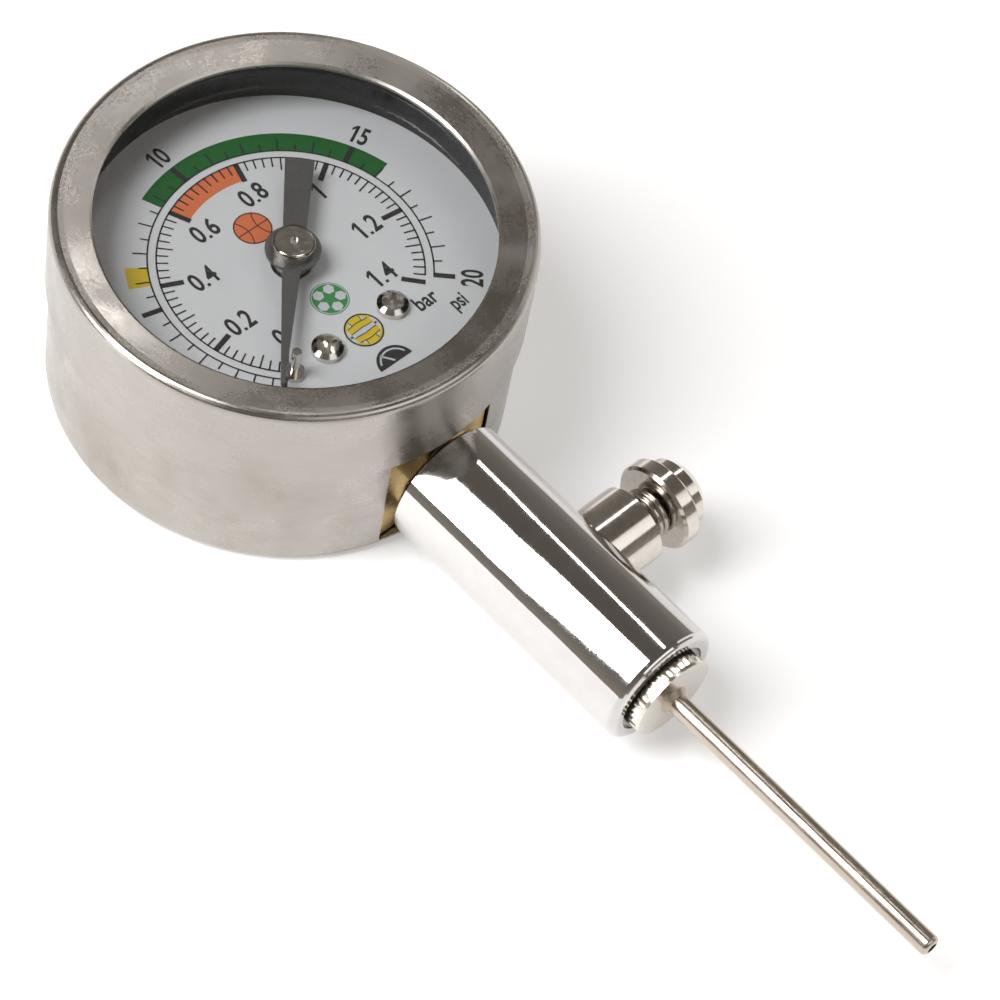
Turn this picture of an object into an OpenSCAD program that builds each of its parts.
// Ball pressure gauge: dial gauge with a chromed stem, push-button bleed valve and screw-in needle.
// Millimetres. +Z points up through the dial, +Y is twelve o'clock and the stem runs along -Y.
// The origin is the centre of the case's flat back face.

/* [Case] */
// Outside diameter of the steel case cup
case_d = 48.9; // [48.6:0.1:49.2]
// Thickness of the case sheet
sheet_t = 0.7; // [0.5:0.05:0.8]
// Outside diameter of the bezel
bezel_d = 49.8; // [49.7:0.1:50.6]
// Height of the bezel's top edge over the back face
total_h = 25.8; // [25.4:0.1:26.4]
// Height of the seam at the bezel skirt's lower edge
seam_z = 15; // [14.6:0.1:15.4]
// Diameter of the opening in the bezel's flange
view_d = 41.1; // [40.6:0.1:41.8]

/* [Dial] */
// Height of the dial's printed face
dial_z = 18.2; // [18:0.1:18.4]
// Radius of the two dial screws from the dial's centre
screw_r = 11.4; // [11:0.1:11.8]
// Angle of each dial screw from six o'clock, in degrees
screw_a = 23; // [20:1:26]
// Angle of the resting pointer from the +X axis, in degrees
rest_a = 225; // [220:1:230]

/* [Stem] */
// Height of the stem's axis over the back face
axis_z = 7.8; // [7.4:0.1:8.2]
// Outside diameter of the stem
stem_d = 14; // [13.4:0.1:14.2]
// Distance from the case's centre to the stem's free end
stem_end = 57; // [55:0.5:60]
// Outside diameter of the needle tube
needle_d = 2.3; // [1.9:0.1:2.5]
// Distance from the case's centre to the needle's tip
tip_reach = 94.5; // [88:0.5:98]

/* [Bleed valve] */
// Distance from the case's centre to the valve's axis
valve_y = 41; // [38:0.5:44]
// Outside diameter of the valve body
valve_d = 8.8; // [8:0.1:9.4]
// Outside diameter of the button's flange
button_d = 9.9; // [9:0.1:10.4]
// How far the button is pushed in
button_travel = 1.8; // [1:0.1:2]

/* [Movement] */
// Teeth on the pinion
pinion_teeth = 10; // [8:1:12]
// Teeth a whole sector wheel would have
sector_teeth = 90; // [84:1:96]
// Gear module
gear_m = 0.2; // [0.18:0.01:0.2]

/* [Hidden] */
$fn = 96;

case_r = case_d / 2;
bezel_r = bezel_d / 2;
view_r = view_d / 2;
stem_r = stem_d / 2;
needle_r = needle_d / 2;
run = 0.05;                        // running clearance on radius
gap = 0.1;                         // clearance between neighbours that only sit close
dial_t = 0.6;
dial_under = dial_z - dial_t;
inner_r = case_r - sheet_t;
rim_z = total_h - 2.4;             // top of the case cup, under the bezel
window_t = 1.4;
window_top = total_h - 1.2;
window_z = window_top - window_t;
notch_w = 13.8;                    // width of the cup's cut-out for the stem
notch_low = 1.2;                   // height of the cut-out's lower edge
pad_t = 0.7;                       // thickness of the gasket under the window
pad_z = window_z - pad_t;

// Movement heights
lower_z = 9.4;
plate_t = 0.8;
upper_z = 15.4;
gear_z = 12.0;
gear_t = 0.9;
spring_z = 13.9;
pointer_z = 20.4;
stop_a = 4.7;                      // angle between the resting pointer and the stop pin
stop_r = 13.9;                     // radius of the stop pin from the dial's centre
pointer_t = 0.35;
arbor_r = 0.5;
arbor_hole = arbor_r + run;
boss_r = 1.9;

// Sector and link geometry
centre_d = gear_m * (pinion_teeth + sector_teeth) / 2;
sector_a = 60;                     // direction of the sector's pivot from the dial's centre
pivot = centre_d * [cos(sector_a), sin(sector_a)];
far_pillar = pivot + 4 * [cos(sector_a + 30), sin(sector_a + 30)];
tail_r = 4.6;
tail_a = -15;                      // direction of the sector's tail from its pivot
tail_pin = pivot + tail_r * [cos(tail_a), sin(tail_a)];
pin_r = 0.4;
sector_swing = 30;
tube_r = 17.5;                     // centre line of the curved tube
tube_low = axis_z - 0.2;
tube_wide = 1.9;
tube_tall = 6.4;
tube_root = 242;                   // where the tube enters the socket block
tube_tip = -13;
plug_a = -26;                      // where the tip plug carries the link's pin
plug_pin = tube_r * [cos(plug_a), sin(plug_a)];
link_v = tail_pin - plug_pin;
link_len = norm(link_v);
link_a = atan2(link_v[1], link_v[0]);
link_t = 0.5;
link_z = gear_z - 0.2 - link_t;
pin_lift = 2 * tail_r * sin(sector_swing / 2);  // how far the link travels along +Y at full scale

// Valve distances along +X from the stem's axis
valve_seat = 5.2;
boss_end = 11.6;
flange_x = boss_end + button_travel + 0.9;  // inner side of the button's flange
flange_t = 2.1;
cap_x = 18.8;
rod_r = 1.0;

// Needle hub
thread_r = 2.5;
recess_r = 5.4;
recess_depth = 1.3;
washer_t = 0.6;
hub_r = 4.8;
hub_back = stem_end - recess_depth + washer_t;
hub_front = stem_end + 1.6;
collar_end = hub_front + 0.6;      // outer end of the solder, where the full needle begins
knurls = 40;
air_r = 1.5;                       // radius of the air passage
stub_start = hub_back - washer_t - 4.4;
shank_r = needle_r - 0.35;         // the tube is turned down inside the hub and the solder

// Places children at the angle a and radius r about the dial's axis.
module polar(r, a) { rotate(a) translate([r, 0, 0]) children(); }

// Turns children so that their +Z runs along the stem, outward, from the case's centre.
module along_stem() { translate([0, 0, axis_z]) rotate([90, 0, 0]) children(); }

// Turns children so that their +Z runs along the valve's axis, outward, from the stem's axis.
module along_valve() { translate([0, -valve_y, axis_z]) rotate([0, 90, 0]) children(); }

// A flat ring.
module ring(outer, inner, h) {
  difference() {
    cylinder(r = outer, h = h);
    translate([0, 0, -1]) cylinder(r = inner, h = h + 2);
  }
}

// A quarter circle of points of radius r about [x, y], from angle a in steps.
function arc(x, y, r, a, steps = 6) = [
  for (i = [0 : steps]) let (b = a + 90 * i / steps) [x + r * cos(b), y + r * sin(b)]
];

module case_shell() {
  corner = 1.2;
  notch_depth = 6;
  color([0.68, 0.66, 0.63])
  difference() {
    rotate_extrude() polygon(concat([[0, 0]], arc(case_r - corner, corner, corner, -90),
      [[case_r, rim_z], [inner_r, rim_z], [inner_r, sheet_t], [0, sheet_t]]));
    translate([-notch_w / 2, -case_r - 1, notch_low])
      cube([notch_w, notch_depth, seam_z + 0.6 - notch_low]);
  }
}

module bezel_ring() {
  bead = 0.9;
  lip = 0.7;
  break_edge = 0.15;
  skirt_r = case_r + gap / 2;
  color([0.72, 0.70, 0.67])
  rotate_extrude() polygon(concat(
    [[skirt_r, seam_z], [bezel_r - break_edge, seam_z], [bezel_r, seam_z + break_edge]],
    arc(bezel_r - bead, total_h - bead, bead, 0),
    [[bezel_r - bead - 0.6, total_h - 0.05], [view_r + 0.25, total_h - 0.5], [view_r, total_h - lip],
     [view_r, total_h - 1.5 * lip], [view_r + 0.2, window_top + 0.02],
     [skirt_r, window_top + 0.02]]));
}

module window() {
  color([0.85, 0.9, 0.92, 0.3])
  translate([0, 0, window_z]) cylinder(r = inner_r - gap, h = window_t);
}

module window_gasket() {
  color([0.08, 0.08, 0.08])
  translate([0, 0, pad_z]) ring(inner_r - gap, inner_r - 1.8, pad_t);
}

module spacer_ring() {
  color([0.05, 0.05, 0.06])
  translate([0, 0, dial_z]) ring(inner_r - gap, inner_r - 1.6, pad_z - dial_z);
}

// Places children at the two dial screws.
module at_dial_screws() {
  for (s = [-1, 1]) polar(screw_r, -90 + s * screw_a) children();
}

module dial_plate() {
  color([0.87, 0.87, 0.88])
  difference() {
    translate([0, 0, dial_under]) cylinder(r = inner_r - gap, h = dial_t);
    translate([0, 0, dial_under - 1]) cylinder(r = boss_r + 0.25, h = dial_t + 2);
    at_dial_screws() translate([0, 0, dial_under - 1]) cylinder(r = 0.95, h = dial_t + 2);
    polar(stop_r, rest_a + stop_a) translate([0, 0, dial_under - 1]) cylinder(r = 0.55, h = dial_t + 2);
  }
}

module dial_screws() {
  head_r = 1.65;
  head_h = 1.0;
  bevel = 0.35;
  slot_w = 0.5;
  slot_len = 2.3;
  shank_len = 6;
  color([0.78, 0.75, 0.70])
  at_dial_screws() difference() {
    union() {
      translate([0, 0, dial_z]) cylinder(r = head_r, h = head_h - bevel);
      translate([0, 0, dial_z + head_h - bevel]) cylinder(r1 = head_r, r2 = head_r - 0.5, h = bevel);
      translate([0, 0, dial_z - shank_len]) cylinder(r = 0.9, h = shank_len + 0.1);
    }
    for (a = [20, 110]) rotate(a) translate([-slot_len / 2, -slot_w / 2, dial_z + 0.4])
      cube([slot_len, slot_w, head_h]);
  }
}

module stop_pin() {
  color([0.75, 0.73, 0.70])
  polar(stop_r, rest_a + stop_a) {
    translate([0, 0, dial_under - 0.8]) cylinder(r = 0.5, h = 5.2);
    translate([0, 0, dial_z]) cylinder(r = 1.1, h = 0.5);
  }
}

// Flat outline of the pointer along +X: a fine tip, a round middle and a wide tail.
module pointer_outline() {
  tip_len = 17;
  tail_len = 11.7;
  tip_w = 0.2;
  waist_w = 1.1;
  tail_w = 1.55;
  polygon([[-tail_len, -tail_w], [0, -waist_w], [tip_len, -tip_w],
    [tip_len, tip_w], [0, waist_w], [-tail_len, tail_w]]);
  circle(r = 2.9);
}

module pointer() {
  color([0.30, 0.30, 0.31])
  rotate(rest_a) translate([0, 0, pointer_z]) linear_extrude(pointer_t) difference() {
    pointer_outline();
    circle(r = arbor_r);
  }
}

module pointer_cap() {
  cap_r = 2.2;
  cap_h = 1.25;
  edge = 0.3;
  low = pointer_z + pointer_t;
  color([0.80, 0.78, 0.74])
  rotate_extrude() polygon(concat([[arbor_r, low], [cap_r, low]],
    arc(cap_r - edge, low + cap_h - edge, edge, 0), [[arbor_r, low + cap_h]]));
}

// Outline of a spur wheel with straight-sided teeth, for the teeth first to last.
module wheel_teeth(teeth, first, last, backlash) {
  pitch_r = gear_m * teeth / 2;
  step = 360 / teeth;
  half = step / 4 - backlash / pitch_r * 57.3;
  root_r = pitch_r - 1.25 * gear_m;
  top_r = pitch_r + 0.9 * gear_m;
  for (i = [first : last]) rotate(i * step) polygon([
    [root_r - 0.1, -root_r * sin(half * 1.5)], [top_r, -top_r * sin(half * 0.55)],
    [top_r, top_r * sin(half * 0.55)], [root_r - 0.1, root_r * sin(half * 1.5)]]);
}

module pinion_arbor() {
  foot = lower_z - 0.4;
  color([0.75, 0.74, 0.72]) {
    translate([0, 0, foot]) cylinder(r = arbor_r, h = pointer_z + pointer_t + 0.9 - foot);
    rotate(sector_a) translate([0, 0, gear_z - 0.2]) linear_extrude(gear_t + 0.4) {
      circle(r = gear_m * pinion_teeth / 2 - 1.25 * gear_m);
      wheel_teeth(pinion_teeth, 0, pinion_teeth - 1, 0.02);
    }
    translate([0, 0, dial_z - 0.2]) ring(boss_r, arbor_r - 0.05, pointer_z - dial_z + 0.2);
  }
}

module hairspring_collet() {
  color([0.80, 0.66, 0.35])
  translate([0, 0, spring_z - 0.2]) ring(1.0, arbor_r, 0.9);
}

// A point at radius r and angle a.
function spiral(r, a) = r * [cos(a), sin(a)];

// A flat spiral strip that winds outward from the collet.
module hairspring() {
  turns = 4;
  inner = 1.5;
  pitch = 0.62;
  strip_t = 0.12;
  strip_h = 0.5;
  steps = 24;
  count = turns * steps;
  color([0.78, 0.58, 0.30])
  translate([0, 0, spring_z]) rotate(-90) linear_extrude(strip_h) polygon(concat(
    [for (i = [0 : count]) spiral(inner + pitch * i / steps, 360 * i / steps)],
    [for (i = [count : -1 : 0]) spiral(inner + strip_t + pitch * i / steps, 360 * i / steps)]));
}

// Outline shared by the two movement plates: a strip from the socket block to the sector's pivot.
module plate_outline() {
  hull() {
    circle(r = 3, $fn = 32);
    translate([0, -10]) circle(r = 2.1, $fn = 32);
  }
  hull() {
    circle(r = 3, $fn = 32);
    translate(pivot) circle(r = 2.2, $fn = 32);
  }
}

// Places children at the movement's pillars.
module at_pillars() {
  for (p = [[0, -8.5], far_pillar]) translate(p) children();
}

module plate(z, hole) {
  difference() {
    translate([0, 0, z]) linear_extrude(plate_t) {
      plate_outline();
      translate(far_pillar) circle(r = 1.6);
      translate((pivot + far_pillar) / 2) circle(r = 1.7);
    }
    translate([0, 0, z - 1]) cylinder(r = hole, h = plate_t + 2);
    translate([pivot[0], pivot[1], z - 1]) cylinder(r = arbor_hole, h = plate_t + 2);
    at_pillars() translate([0, 0, z - 1]) cylinder(r = 0.6, h = plate_t + 2);
  }
}

module lower_plate() { color([0.79, 0.66, 0.36]) plate(lower_z, arbor_hole); }

module upper_plate() { color([0.79, 0.66, 0.36]) plate(upper_z, arbor_hole); }

// Two hollow pillars between the plates, and the plain stud that the hairspring's outer end is fixed to.
module pillars() {
  stud_y = -4.65;
  pillar_h = upper_z - lower_z - plate_t;
  color([0.80, 0.68, 0.40])
  translate([0, 0, lower_z + plate_t]) {
    at_pillars() ring(1.1, 0.6, pillar_h);
    translate([0, stud_y, 0]) cylinder(r = 0.45, h = pillar_h);
  }
}

module movement_screws() {
  color([0.74, 0.73, 0.71])
  at_pillars() {
    translate([0, 0, lower_z]) cylinder(r = 0.6, h = upper_z + plate_t - lower_z + 0.1);
    translate([0, 0, upper_z + plate_t]) difference() {
      cylinder(r = 1.2, h = 0.7);
      translate([-1.3, -0.15, 0.35]) cube([2.6, 0.3, 1]);
    }
  }
}

// The toothed sector, drawn about its own pivot with the middle tooth gap facing the pinion.
module sector_outline() {
  pitch_r = gear_m * sector_teeth / 2;
  step = 360 / sector_teeth;
  root_r = pitch_r - 1.25 * gear_m;
  first = -10;
  last = 2;
  wedge_r = root_r + 5;
  rim_w = 1.6;
  arm_w = 1.2;
  rotate(sector_a + 180) {
    difference() {
      intersection() {
        circle(r = root_r);
        polygon([[0, 0], spiral(wedge_r, (first - 0.4) * step), spiral(wedge_r, (last + 1.4) * step)]);
      }
      circle(r = root_r - rim_w);
    }
    rotate(step / 2) wheel_teeth(sector_teeth, first, last, 0.03);
  }
  for (i = [first + 0.4, last + 0.6]) rotate(sector_a + 180 + i * step)
    translate([0, -arm_w / 2]) square([root_r - 1, arm_w]);
  circle(r = 1.9);
  rotate(tail_a) translate([0, -0.9]) square([tail_r, 1.8]);
  translate(tail_pin - pivot) circle(r = 1.1);
}

module sector_gear() {
  color([0.82, 0.70, 0.42])
  translate([pivot[0], pivot[1], gear_z]) linear_extrude(gear_t) difference() {
    sector_outline();
    circle(r = arbor_r);
    translate(tail_pin - pivot) circle(r = pin_r);
  }
}

// Sector's own spindle and the pin that its tail turns the link on.
module sector_arbor() {
  color([0.75, 0.74, 0.72]) {
    translate([pivot[0], pivot[1], lower_z - 0.3])
      cylinder(r = arbor_r, h = upper_z + plate_t + 0.6 - lower_z);
    translate([tail_pin[0], tail_pin[1], gear_z - 0.9]) cylinder(r = pin_r, h = gear_t + 1.0);
  }
}

// Flattened tube bent round the inside of the case.
module bourdon_tube() {
  wall = 0.35;
  color([0.82, 0.66, 0.38])
  rotate(tube_tip) rotate_extrude(angle = tube_root - tube_tip) difference() {
    translate([tube_r - tube_wide / 2, tube_low]) square([tube_wide, tube_tall]);
    translate([tube_r - tube_wide / 2 + wall, tube_low + wall])
      square([tube_wide - 2 * wall, tube_tall - 2 * wall]);
  }
}

// Plug soldered to the tube's tip, with the slot that the link's pin rides in.
module tip_plug() {
  span = 18;
  slot_r = pin_r + 0.15;
  slot_x = plug_pin[0] + 0.08;
  top = link_z - 0.3;
  color([0.80, 0.68, 0.40])
  difference() {
    rotate(tube_tip - 0.2 - span) rotate_extrude(angle = span) translate([tube_r - 2.5, tube_low])
      square([4.0, top - tube_low]);
    translate([slot_x, plug_pin[1], tube_low - 1]) cylinder(r = slot_r, h = 9);
    translate([slot_x, plug_pin[1] + pin_lift, tube_low - 1]) cylinder(r = slot_r, h = 9);
    translate([slot_x - slot_r, plug_pin[1], tube_low - 1]) cube([2 * slot_r, pin_lift, 9]);
  }
}

// Flat link from the tip plug up to the sector's tail.
module link() {
  color([0.76, 0.75, 0.73])
  translate([plug_pin[0], plug_pin[1], link_z]) rotate(link_a) linear_extrude(link_t) difference() {
    union() {
      circle(r = 0.9);
      translate([link_len, 0]) circle(r = 0.9);
      translate([0, -0.5]) square([link_len, 1.0]);
    }
    circle(r = pin_r);
    translate([link_len, 0]) circle(r = pin_r + run);
  }
}

module link_pin() {
  color([0.75, 0.74, 0.72])
  translate([plug_pin[0], plug_pin[1], tube_low + 0.6])
    cylinder(r = pin_r, h = link_z + link_t - tube_low - 0.5);
}

module socket_block() {
  block_w = notch_w - 0.5;
  front = case_r - 1.3;
  back = 5.4;
  foot_y = 15.6;
  foot_w = 8;
  foot_z = sheet_t + 0.6;
  top = lower_z - gap;
  color([0.80, 0.62, 0.25])
  difference() {
    union() {
      translate([-block_w / 2, -front, notch_low + 0.3])
        cube([block_w, front - foot_y + 0.2, seam_z - notch_low - 0.7]);
      translate([-foot_w / 2, -foot_y, foot_z]) cube([foot_w, foot_y - back, top - foot_z]);
      at_dial_screws() translate([0, 0, axis_z]) cylinder(r = 2.0, h = dial_under - axis_z);
      translate([-9.4, -17.6, axis_z - 0.7]) cube([6.2, 3.4, 7.6]);
    }
    along_stem() translate([0, 0, 12]) cylinder(r = air_r, h = 16);
    at_dial_screws() translate([0, 0, dial_z - 7]) cylinder(r = 0.9, h = 8);
    rotate(tube_root - 60) rotate_extrude(angle = 60) translate([tube_r - tube_wide / 2, tube_low])
      square([tube_wide, tube_tall]);
  }
}

module stem() {
  start = case_r + 0.25;
  edge = 0.8;
  color([0.82, 0.82, 0.84])
  difference() {
    union() {
      along_stem() rotate_extrude() polygon(concat(
        [[0, start], [stem_r - 0.4, start], [stem_r, start + 0.4]],
        arc(stem_r - edge, stem_end - edge, edge, 0), [[0, stem_end]]));
      along_stem() translate([0, 0, case_r - 1.3]) cylinder(r = 5, h = 2);
    }
    along_stem() translate([0, 0, stem_end - recess_depth]) cylinder(r = recess_r, h = 5);
    along_stem() translate([0, 0, stem_end - recess_depth - 5]) cylinder(r = thread_r + run, h = 6);
    along_stem() translate([0, 0, 10]) cylinder(r = air_r, h = stem_end - 12);
    along_valve() cylinder(r = 2.9, h = stem_r + 1);
  }
}

// Valve body: a threaded neck in the stem's side and a round boss cut to sit on the stem.
module valve_body() {
  neck_r = 2.8;
  body_r = valve_d / 2;
  pocket_r = 3.15;
  color([0.80, 0.77, 0.72])
  difference() {
    union() {
      along_valve() translate([0, 0, valve_seat]) cylinder(r = neck_r, h = 3);
      difference() {
        along_valve() rotate_extrude() polygon([[0, 5], [body_r, 5], [body_r, boss_end - 0.3],
          [body_r - 0.3, boss_end], [0, boss_end]]);
        along_stem() cylinder(r = stem_r + 0.02, h = stem_end);
      }
    }
    along_valve() translate([0, 0, boss_end - 2.2]) cylinder(r = pocket_r, h = 3);
    along_valve() translate([0, 0, valve_seat - 1]) cylinder(r = rod_r + run, h = 9);
  }
}

module valve_button() {
  cap_r = 3.9;
  rim_r = button_d / 2;
  edge = 0.3;
  flange_end = flange_x + flange_t;
  dome = 0.9;
  color([0.82, 0.79, 0.74])
  along_valve() difference() {
    rotate_extrude() polygon([[0, flange_x], [rim_r - edge, flange_x], [rim_r, flange_x + edge],
      [rim_r, flange_end - edge], [rim_r - edge, flange_end], [cap_r, flange_end],
      [cap_r, cap_x - dome], [cap_r - dome, cap_x], [0, cap_x]]);
    translate([0, 0, flange_x - 1]) cylinder(r = rod_r, h = 3.4);
  }
}

module valve_rod() {
  head_x = valve_seat - 1.3;
  color([0.74, 0.72, 0.69])
  along_valve() {
    translate([0, 0, head_x]) cylinder(r = rod_r, h = flange_x + 2.4 - head_x);
    translate([0, 0, head_x - 0.7]) cylinder(r = 1.9, h = 0.7);
  }
}

module valve_seal() {
  color([0.10, 0.10, 0.10])
  along_valve() translate([0, 0, valve_seat - 1.3]) ring(1.9, rod_r, 1.2);
}

// Coil spring between the valve body and the button, drawn as a stack of closed rings.
module valve_spring() {
  wire = 0.36;
  coil_r = 2.5;
  low = boss_end - 2.2 + wire + 0.05;
  high = flange_x - wire - 0.05;
  turns = 6;
  color([0.70, 0.68, 0.65])
  along_valve() for (i = [0 : turns - 1]) {
    translate([0, 0, low + (high - low) * i / (turns - 1)]) rotate_extrude()
      translate([coil_r, 0]) circle(r = wire, $fn = 24);
  }
}

module needle_washer() {
  color([0.12, 0.12, 0.12])
  along_stem() translate([0, 0, stem_end - recess_depth]) ring(4.4, thread_r + run, washer_t);
}

// Knurled disc with a threaded stub that screws into the stem.
module needle_hub() {
  tooth = 0.46;
  color([0.78, 0.75, 0.70])
  along_stem() difference() {
    union() {
      translate([0, 0, stub_start]) cylinder(r = thread_r, h = hub_back - stub_start + 0.1);
      difference() {
        translate([0, 0, hub_back]) cylinder(r = hub_r, h = hub_front - hub_back);
        for (i = [0 : knurls - 1]) rotate(i * 360 / knurls) translate([hub_r + 0.05, 0, hub_back - 1])
          rotate(45) translate([-tooth / 2, -tooth / 2, 0])
            cube([tooth, tooth, hub_front - hub_back + 0.6]);
      }
    }
    translate([0, 0, stub_start - 1]) cylinder(r = shank_r, h = 20);
  }
}

// Ring of solder round the needle's root.
module needle_collar() {
  color([0.70, 0.64, 0.55])
  along_stem() rotate_extrude() polygon([[shank_r, hub_front], [needle_r + 0.5, hub_front],
    [needle_r + 0.15, hub_front + 0.4], [needle_r - 0.02, collar_end], [shank_r, collar_end]]);
}

module needle_tube() {
  bore = 0.6;
  round_r = 0.5;
  color([0.76, 0.70, 0.62])
  along_stem() rotate_extrude() polygon(concat(
    [[bore, stub_start], [shank_r, stub_start], [shank_r, collar_end], [needle_r, collar_end]],
    arc(needle_r - round_r, tip_reach - round_r, round_r, 0), [[bore, tip_reach]]));
}

case_shell();
bezel_ring();
window();
window_gasket();
spacer_ring();
dial_plate();
dial_screws();
stop_pin();
pointer();
pointer_cap();
pinion_arbor();
hairspring_collet();
hairspring();
lower_plate();
upper_plate();
pillars();
movement_screws();
sector_gear();
sector_arbor();
bourdon_tube();
tip_plug();
link();
link_pin();
socket_block();
stem();
valve_body();
valve_button();
valve_rod();
valve_seal();
valve_spring();
needle_washer();
needle_hub();
needle_collar();
needle_tube();
